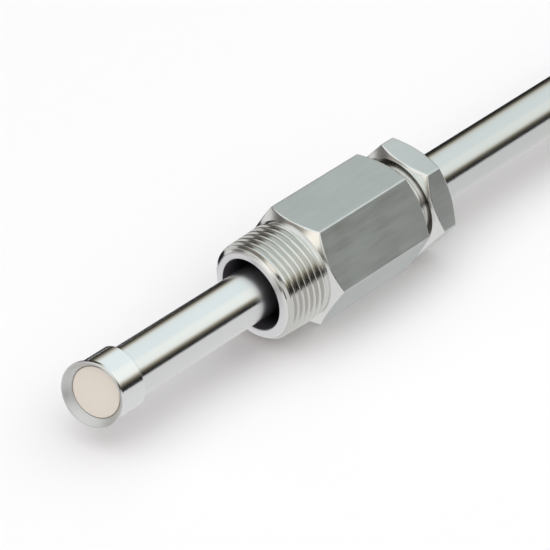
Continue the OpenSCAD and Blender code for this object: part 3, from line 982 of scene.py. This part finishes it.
# %% Gland nut
NUT_HOLE_R = STEM_R + FREE
NUT_FLATS_FROM = 15.8
nut_front_edge, nut_front_cone = chamfer_cone(NUT_FRONT, 1, NUT_AF, HEX_INSET)
nut_rear_edge, nut_rear_cone = chamfer_cone(nut_rear, -1, NUT_AF, HEX_INSET)
nut_profile = [
    (nut_nose, NUT_HOLE_R, 0.1),
    (nut_nose, NUT_THREAD_R - 1, 0.1),
    (nut_nose + 1, NUT_THREAD_R, 0.1),
    (hex_rear - 1, NUT_THREAD_R, 0.1),
    (hex_rear, NUT_THREAD_R - 1, 0.2),
    (NUT_FRONT, NUT_THREAD_R - 1, 0.3),
    nut_front_edge,
    nut_front_cone,
    nut_rear_cone,
    nut_rear_edge,
    (nut_rear, NUT_HOLE_R + 0.5, 0.1),
    (nut_rear - 0.5, NUT_HOLE_R, 0.1),
]
nut = turned("nut_shell", nut_profile, hexagon(NUT_AF, NUT_TURN), hexagon_angles(NUT_TURN),
             FLAT_STEP)
stands_for(nut, "nut", "nut_steel", NUT_FLATS, "gland_nut")
turned_faces(nut, NUT_TURNED, within=NUT_FLATS_FROM)

# %% [markdown]
# ## The stem
#
# A drawn and polished tube. Its ends are hidden, in the head and behind the tail plug's
# flange, so the profile is a plain long ring with broken edges. What makes it a real stem
# is its polish, which smears every reflection into long lines.

# %% Stem
stem_profile = [
    (stem_front, STEM_BORE_R, 0.1),
    (stem_front, STEM_R, 0.1),
    (stem_end, STEM_R, 0.1),
    (stem_end, STEM_BORE_R, 0.1),
]
stem = turned("stem_shell", stem_profile)
stands_for(stem, "probe", "stem_steel", STEM_STEEL, "stem_tube")

# %% [markdown]
# ## The sensor head
#
# The collar is turned about the stem's axis, but the rim and the dish about a second
# axis, slanted against it. The skin is lofted between rings of both kinds: a ring where
# the collar meets the slanted plane lies on both, and the flare grows from it.

# %% Planes and rings of the head
face_x = head_rear - HEAD_LEN
window_x = face_x + DISH / math.cos(SLANT)
slant = (Matrix.Rotation(-ROLL, 4, "X") @ Matrix.Rotation(SLANT, 4, "Z")
         @ Matrix.Rotation(ROLL, 4, "X"))
FACE = Matrix.Translation((face_x, 0, 0)) @ slant
WINDOW = Matrix.Translation((window_x, 0, 0)) @ slant
normal = slant.to_3x3() @ Vector((1, 0, 0))
angles = round_angles(288)


def upright_ring(x, r):
    return np.stack([np.full_like(angles, x), r * np.cos(angles), r * np.sin(angles)], -1)


def slanted_ring(depth, r, place):
    local = np.stack([np.full_like(angles, depth), r * np.cos(angles), r * np.sin(angles)], -1)
    return local @ np.array(place.to_3x3()).T + np.array(place.translation)


def meeting_ring(depth, r):
    """The ring that lies on the upright cylinder and on the slanted plane at a depth."""
    middle = FACE @ Vector((depth, 0, 0))
    y, z = r * np.cos(angles), r * np.sin(angles)
    x = middle.x - (normal.y * (y - middle.y) + normal.z * (z - middle.z)) / normal.x
    return np.stack([x, y, z], -1)


def quarter(steps):
    """Angles of a quarter turn, for the rounding of an edge."""
    return np.linspace(0, math.pi / 2, steps)


print("face at", round(face_x, 2), "mm, window at", round(window_x, 2), "mm")

# %% [markdown]
# The skin starts at the collar's shoulder, runs along the collar, and leaves it in a
# flare. A straight loft would show a kink there, so the way outwards is eased.

# %% Collar and flare
SHOULDER_ROUND = 0.22
FLARE_DEPTH = 2.0
FLARE_STEPS = np.linspace(0, 1, 9)
head_rings = [upright_ring(head_rear, STEM_R + 0.05)]
for turn in quarter(6):
    head_rings.append(upright_ring(head_rear - SHOULDER_ROUND * (1 - math.cos(turn)),
                                   COLLAR_R - SHOULDER_ROUND * (1 - math.sin(turn))))
head_rings.append(upright_ring(head_rear - SHOULDER_ROUND - 0.1, COLLAR_R))

# The flare leaves the collar along it and ends at the back of the rim
flare_start = meeting_ring(FLARE_DEPTH, COLLAR_R)
head_rings.append(meeting_ring(FLARE_DEPTH + 0.15, COLLAR_R))
rim_back = slanted_ring(RIM_H, RIM_R, FACE)
for t in FLARE_STEPS:
    ease = t * t * (1.6 - 0.6 * t)
    outward = (rim_back - flare_start) * (ease - t)
    outward[:, 0] = 0
    head_rings.append(flare_start + (rim_back - flare_start) * t + outward)
print(len(head_rings), "rings so far")

# %% [markdown]
# Over the rim's rounded edge the skin turns inwards, falls into the shallow dish, and
# ends in the seat behind the window, all of it square to the slanted plane.

# %% Rim, dish and seat
RIM_EDGE = 0.3
LAND = 0.12
DISH_HOLLOW = 0.18
land_r = RIM_R - RIM_EDGE - LAND
head_rings.append(slanted_ring(RIM_EDGE + 0.08, RIM_R, FACE))
for turn in quarter(6):
    head_rings.append(slanted_ring(RIM_EDGE * (1 - math.sin(turn)),
                                   RIM_R - RIM_EDGE * (1 - math.cos(turn)), FACE))
dish_top = slanted_ring(0, land_r, FACE)
dish_low = slanted_ring(0, SEAT_R + 0.05, WINDOW)
head_rings.append(dish_top)
for t in FLARE_STEPS:
    hollow = DISH_HOLLOW * math.sin(math.pi * t)
    head_rings.append(dish_top + (dish_low - dish_top) * t + hollow * np.array(normal))
head_rings.append(slanted_ring(0.1, SEAT_R, WINDOW))
head_rings.append(slanted_ring(WINDOW_T, SEAT_R, WINDOW))
head_rings.append(slanted_ring(WINDOW_T, STEM_BORE_R + 0.2, WINDOW))
head_rings.append(upright_ring(stem_front, STEM_BORE_R + 0.2))
head_rings.append(upright_ring(stem_front, STEM_R + 0.05))
print(len(head_rings), "rings in all")

# %% [markdown]
# The rings are joined to one closed skin. The slanted face is blasted satin, and only the
# outside is polished, so the faces that look forwards get a second material.

# %% Sensor head
head = ring_mesh("head_shell", np.array(head_rings))
stands_for(head, "probe", "head_steel", HEAD_STEEL, "sensor_head")

head.data.materials.append(FACE_STEEL)
for side in head.data.polygons:
    if side.normal.dot(normal) < -AXIS_FACING:
        side.material_index = 1

# %% [markdown]
# ## The window
#
# The beige disc is what the sound passes through. Its face is lapped flat and its edge
# just broken, and a thin bonding ring round it lies a little lower, so it reads as a line.

# %% Window and its bonding ring
NEAR_AXIS = 0.02
window_profile = [
    (0, NEAR_AXIS, 0),
    (0, WINDOW_R, 0.12),
    (WINDOW_T, WINDOW_R, 0.05),
    (WINDOW_T, NEAR_AXIS, 0),
]
window = turned("window_face", window_profile, place=WINDOW)
stands_for(window, "probe", "window_beige", WINDOW_BEIGE, "window_disc")

seal_profile = [
    (0.22, WINDOW_R, 0),
    (0.16, SEAT_R, 0),
    (WINDOW_T, SEAT_R, 0),
    (WINDOW_T, WINDOW_R, 0),
]
seal = turned("window_bond", seal_profile, place=WINDOW)
stands_for(seal, "probe", "bond_brown", BOND_BROWN, "window_seal")

# %% [markdown]
# ## The tail
#
# Behind the photograph's edge the stem ends plainly: a flanged plug with two spanner
# flats, and a small cable gland with a domed cap and a rubber insert. The plug's outline
# is a circle with two flats, so the lathe's limit is a function of its own.

# %% Tail plug
PLUG_FLAT = STEM_R + 0.75
FLAT_FROM = stem_end + 2
PLUG_WAY_R = CABLE_R + 1
RING_ROOM = 1.0


def two_flats(angles):
    return PLUG_FLAT / np.clip(np.abs(np.sin(angles)), 0.3, None)


plug_profile = [
    (plug_front, PLUG_WAY_R, 0.1),
    (plug_front, SPIGOT_R, 0.15),
    (SEAL_MIDDLE - RING_ROOM, SPIGOT_R, 0.05),
    (SEAL_MIDDLE - RING_ROOM, SPIGOT_R - RING_ROOM, 0.05),
    (SEAL_MIDDLE + RING_ROOM, SPIGOT_R - RING_ROOM, 0.05),
    (SEAL_MIDDLE + RING_ROOM, SPIGOT_R, 0.05),
    (stem_end, SPIGOT_R, 0.05),
    (stem_end, FLANGE_R, 0.4),
    (flange_end, FLANGE_R, 0.4),
    (flange_end, GLAND_THREAD_R + 0.3, 0.1),
    (flange_end - GLAND_THREAD_LEN - 0.3, GLAND_THREAD_R + 0.05, 0.1),
    (flange_end - GLAND_THREAD_LEN - 0.3, PLUG_WAY_R, 0.1),
]
plug = turned("plug_shell", plug_profile, two_flats, step=0.4, limit_from=FLAT_FROM)
stands_for(plug, "probe", "gland_steel", GLAND_STEEL, "tail_plug")

# %% [markdown]
# The gland's base is a hexagon like the others, only smaller, with a threaded spigot in
# the plug and a collar behind that the cap screws over. A flat gasket seals it.

# %% Base and gasket of the gland
GLAND_INSET = 0.5
GLAND_FLATS_FROM = 8.7
gland_front_edge, gland_front_cone = chamfer_cone(gasket_end, 1, GLAND_AF, GLAND_INSET)
gland_rear_edge, gland_rear_cone = chamfer_cone(gland_hex_end, -1, GLAND_AF, GLAND_INSET)
base_profile = [
    (flange_end - GLAND_THREAD_LEN, CABLE_R + 0.5, 0.1),
    (flange_end - GLAND_THREAD_LEN, GLAND_THREAD_R, 0.3),
    (gasket_end, GLAND_THREAD_R, 0.05),
    gland_front_edge,
    gland_front_cone,
    gland_rear_cone,
    gland_rear_edge,
    (gland_hex_end, GLAND_TOP_R, 0.1),
    (gland_top_end, GLAND_TOP_R, 0.3),
    (gland_top_end, SEAT_TOP_R, 0.1),
    (gland_hex_end, SEAT_TOP_R, 0.1),
    (gland_hex_end, CABLE_R + 0.5, 0.1),
]
base = turned("gland_base_shell", base_profile, hexagon(GLAND_AF, 0), hexagon_angles(0),
              FLAT_STEP)
stands_for(base, "probe", "gland_steel", GLAND_FLATS, "gland_base")
turned_faces(base, GLAND_STEEL, within=GLAND_FLATS_FROM)

gasket_profile = [
    (flange_end, GLAND_THREAD_R + 0.05, 0.1),
    (flange_end, GLAND_AF / 2 - 1, 0.2),
    (gasket_end, GLAND_AF / 2 - 1, 0.2),
    (gasket_end, GLAND_THREAD_R + 0.05, 0.1),
]
gasket = turned("gland_gasket_ring", gasket_profile)
stands_for(gasket, "probe", "seal_rubber", RUBBER, "gland_gasket")

# %% [markdown]
# The cap is a hexagon that runs into a dome. The arc of the dome is worked out point by
# point, and its mouth is rounded, so a cable would never rub on an edge.

# %% Domed cap
DOME_LEN = 5.0
DOME_FALL = 3.2
CAP_MOUTH_R = CABLE_R + 0.8
dome_r = GLAND_AF / 2 - 0.6
dome_front = cap_end - DOME_LEN
cap_front_edge, cap_front_cone = chamfer_cone(cap_front, 1, GLAND_AF, GLAND_INSET)
cap_rear_cone = (dome_front - 0.9, past_corners(GLAND_AF), 0)
dome = [(dome_front + DOME_LEN * math.sin(turn), dome_r - DOME_FALL * (1 - math.cos(turn)), 0)
        for turn in quarter(12)]
cap_profile = [
    (cap_front, GLAND_TOP_R + 0.05, 0.2),
    cap_front_edge,
    cap_front_cone,
    cap_rear_cone,
    (dome_front + 0.02, dome_r, 0),
    *dome[1:],
    (cap_end, CAP_MOUTH_R, 0.5),
    (gland_top_end + 2.5, CAP_MOUTH_R, 0.1),
    (gland_top_end + 2.5, CABLE_R + 1.1, 0.1),
    (gland_top_end + 1.5, GLAND_TOP_R - 1.4, 0.1),
    (gland_top_end + 0.32, GLAND_TOP_R - 0.9, 0.1),
    (gland_top_end + 0.3, GLAND_TOP_R + 0.05, 0.1),
]
cap = turned("cap_shell", cap_profile, hexagon(GLAND_AF, 0), hexagon_angles(0), FLAT_STEP)
stands_for(cap, "cap", "gland_steel", GLAND_FLATS, "gland_cap")
turned_faces(cap, GLAND_STEEL, within=GLAND_FLATS_FROM)

# %% [markdown]
# The rubber insert fills the gap between cap and cable. Screwing the cap on squeezes it.

# %% Rubber insert
insert_profile = [
    (insert_front, CABLE_R, 0.3),
    (insert_front, SEAT_TOP_R - 0.1, 0.3),
    (gland_top_end, SEAT_TOP_R - 0.1, 0.1),
    (gland_top_end + 0.3, GLAND_TOP_R - 1, 0.1),
    (gland_top_end + 1.5, GLAND_TOP_R - 1.5, 0.2),
    (insert_end, CABLE_R + 1, 0.2),
    (insert_end, CABLE_R, 0.3),
]
insert = turned("insert_rubber", insert_profile)
stands_for(insert, "sealing_insert", "seal_rubber", RUBBER, "gland_insert")

# %% [markdown]
# What stays inside, and is seen only where the part is cut open, keeps its solids' shape
# and gets its finish on their material slots.

# %% Solids that keep their shape
KEPT = {
    "packing_washer": BODY_TURNED,
    "packing_ring_1": PACKING_WHITE,
    "packing_ring_2": PACKING_WHITE,
    "packing_ring_3": PACKING_WHITE,
    "thrust_ring": RING_BRONZE,
    "transmit_crystal": CRYSTAL,
    "receive_crystal": CRYSTAL,
    "crystal_barrier": CORK,
    "backing_block": BACKING,
    "transmit_lead": LEAD_BLACK,
    "receive_lead": LEAD_RED,
    "potting_plug": BACKING,
    "tail_seal": RUBBER,
}
for name, material in KEPT.items():
    dress(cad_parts[name], material)
print(len(KEPT), "solids keep their shape")

# %% [markdown]
# ## Stage and light
#
# The photograph is a cut-out on white with the mirror-like marks of a studio: a wide
# bright ceiling, a white table, and dark flags that draw the black lines on the stem.
# The floor is the table. Polished steel sees it as an even, pale light: a Light Path node
# gives reflected rays a plain glow there, and every other ray the paper with its shadow.

# %% Floor
FLOOR_HALF = 3.0
TABLE_GLOW = (0.755, 0.755, 0.76, 1)
floor_z = cad_box[0][2]
floor_mesh = bpy.data.meshes.new("floor")
floor_corners = [(-FLOOR_HALF, -FLOOR_HALF), (FLOOR_HALF, -FLOOR_HALF),
                 (FLOOR_HALF, FLOOR_HALF), (-FLOOR_HALF, FLOOR_HALF)]
floor_mesh.from_pydata([(x, y, floor_z) for x, y in floor_corners], [], [(0, 1, 2, 3)])
floor = bpy.data.objects.new("floor", floor_mesh)
bpy.context.scene.collection.objects.link(floor)
floor_paint, floor_tree, floor_shader = blank_material("floor_paper")
floor_shader.inputs["Base Color"].default_value = (0.92, 0.885, 0.895, 1)
floor_shader.inputs["Roughness"].default_value = 0.9
floor_shader.inputs["Specular IOR Level"].default_value = 0.1
mirrored = node(floor_tree, "ShaderNodeEmission", {"Color": TABLE_GLOW})
floor_output = floor_tree.nodes["Material Output"]
seen = node(floor_tree, "ShaderNodeMixShader",
            {0: node(floor_tree, "ShaderNodeLightPath").outputs["Is Glossy Ray"],
             1: floor_shader.outputs[0], 2: mirrored.outputs[0]})
floor_tree.links.new(seen.outputs[0], floor_output.inputs["Surface"])
dress(floor, floor_paint)
print("floor at", round(floor_z / MM, 2), "mm")


# %% [markdown]
# Three dark cards are the flags. One stands in front and draws the dark line low on the
# stem, one lies flat behind for the dark upper edges, and a small one stands at the left.
# They show in reflections alone, so they neither shade the part nor cross the picture.

# %% Dark cards
def dark_card(name, corners):
    """A flag with its corners in millimetres over the floor."""
    mesh = bpy.data.meshes.new(name)
    places = [(x * MM, y * MM, z * MM + floor_z) for x, y, z in corners]
    mesh.from_pydata(places, [], [(0, 1, 2, 3)])
    card = bpy.data.objects.new(name, mesh)
    bpy.context.scene.collection.objects.link(card)
    card.visible_camera = False
    card.visible_diffuse = False
    card.visible_shadow = False
    dress(card, CARD_BLACK)
    return card


CARD_BLACK, _, card_shader = blank_material("card_black")
card_shader.inputs["Base Color"].default_value = (0.012, 0.013, 0.013, 1)
card_shader.inputs["Roughness"].default_value = 1.0
card_shader.inputs["Specular IOR Level"].default_value = 0.0
dark_card("card_front", [(-500, -260, 1), (700, -260, 1), (700, -260, 55), (-500, -260, 55)])
dark_card("card_behind", [(-60, 50, 1), (2900, 50, 1), (2900, 2900, 1), (1900, 2900, 1)])
dark_card("card_left", [(-300, 0, 1), (-300, -150, 1), (-300, -150, 50), (-300, 0, 50)])
print("three dark cards")

# %% [markdown]
# The sky gets brighter with height, from dark low down to a cool white overhead, as a
# studio with a lit ceiling does. Towards the sensor face it has a paler wall instead.
# The ramps are read by the height of the direction, and by nothing else.

# %% Ramps of the sky
CEILING_STOPS = [
    (0.00, (0.030, 0.026, 0.022)),
    (0.16, (0.040, 0.034, 0.027)),
    (0.27, (0.160, 0.140, 0.110)),
    (0.36, (0.520, 0.485, 0.400)),
    (0.46, (0.790, 0.780, 0.715)),
    (0.62, (0.870, 0.945, 0.960)),
]
WALL_STOPS = [
    (0.00, (0.40, 0.39, 0.36)),
    (0.22, (0.47, 0.46, 0.42)),
    (0.42, (0.95, 0.95, 0.94)),
]


def height_ramp(tree, height_of, values):
    """Colours by height, from the horizon to the point overhead."""
    ramp = node(tree, "ShaderNodeValToRGB", {"Fac": height_of})
    stops = ramp.color_ramp.elements
    while len(stops) < len(values):
        stops.new(0.5)
    for stop, (height, colour) in zip(stops, values):
        stop.position = height
        stop.color = (*colour, 1)
    return ramp.outputs[0]


world = bpy.data.worlds.new("studio")
bpy.context.scene.world = world
world.use_nodes = True
sky = world.node_tree
sky.nodes.clear()
direction = node(sky, "ShaderNodeSeparateXYZ",
                 {0: node(sky, "ShaderNodeTexCoord").outputs["Generated"]})
ceiling = height_ramp(sky, direction.outputs[2], CEILING_STOPS)
wall = height_ramp(sky, direction.outputs[2], WALL_STOPS)
to_wall = clamped_rise(sky, math_node(sky, "MULTIPLY", direction.outputs[0], -1.0), 0.15, 0.5)
sky_colour = colour_mix(sky, to_wall, ceiling, wall)
print("sky ramps with", len(CEILING_STOPS), "and", len(WALL_STOPS), "stops")


# %% [markdown]
# Soft round patches stand for single boxes and flags of the studio. Each is a direction,
# the angles where it begins and where it is full, and a colour. A warm box lights the
# chamfer's corner, a wide cool one the top of the stem, and three dark ones draw the dark
# ends of the threads and chamfers.

# %% Boxes and flags in the sky
PATCHES = [
    ((-0.975, 0.117, 0.20), 16, 7, (1.15, 1.10, 1.00)),
    ((0.577, -0.50, 0.645), 24, 8, (1.00, 1.035, 1.01)),
    ((-0.65, 0.76, 0.05), 19, 8, (0.09, 0.085, 0.08)),
    ((0.10, 0.90, 0.40), 30, 12, (0.10, 0.095, 0.085)),
    ((-0.85, 0.48, 0.20), 18, 6, (0.25, 0.23, 0.20)),
]


def spot(colour_before, towards, wide, narrow, colour):
    """A soft round patch of another colour in one direction of the sky."""
    facing = node(sky, "ShaderNodeVectorMath",
                  {0: node(sky, "ShaderNodeTexCoord").outputs["Generated"],
                   1: Vector(towards).normalized()}, operation="DOT_PRODUCT")
    share = clamped_rise(sky, facing.outputs["Value"], math.cos(math.radians(wide)),
                         math.cos(math.radians(narrow)))
    return colour_mix(sky, share, colour_before, colour)


for where, wide, narrow, colour in PATCHES:
    sky_colour = spot(sky_colour, where, wide, narrow, colour)
print(len(PATCHES), "patches in the sky")

# %% [markdown]
# The camera itself looks past all that: to its own rays the world is plain white at a
# strength of one, so the white behind the part needs no extra light.

# %% White to the camera
lit = node(sky, "ShaderNodeBackground", {"Color": sky_colour, "Strength": 1.0})
white = node(sky, "ShaderNodeBackground", {"Color": (1, 1, 1, 1), "Strength": 1.0})
chosen = node(sky, "ShaderNodeMixShader",
              {0: node(sky, "ShaderNodeLightPath").outputs["Is Camera Ray"],
               1: lit.outputs[0], 2: white.outputs[0]})
node(sky, "ShaderNodeOutputWorld", {"Surface": chosen.outputs[0]})
print("world", world.name, len(sky.nodes), "nodes")


# %% [markdown]
# One wide soft box over the table gives the even light and the soft shadow under the
# part. It is kept out of reflections, because the sky already shows the steel its ceiling.

# %% Soft box
def soft_box(name, place, aim_point, size, power):
    data = bpy.data.lights.new(name, "AREA")
    data.shape = "RECTANGLE"
    data.size, data.size_y = size
    data.energy = power
    lamp = bpy.data.objects.new(name, data)
    lamp.location = place
    lamp.visible_glossy = False
    lamp.rotation_euler = (Vector(place) - Vector(aim_point)).to_track_quat("Z", "Y").to_euler()
    bpy.context.scene.collection.objects.link(lamp)
    return lamp


ceiling_box = soft_box("ceiling_box", (0.1, -0.2, 1.2), (0.03, 0, 0), (2.6, 2.6), 11.5)
print("one lamp of", ceiling_box.data.energy, "W")

# %% [markdown]
# Colours are shown as they are written, with no film look on top.

# %% Plain view
bpy.context.scene.view_settings.view_transform = "Standard"
print("view:", bpy.context.scene.view_settings.view_transform)
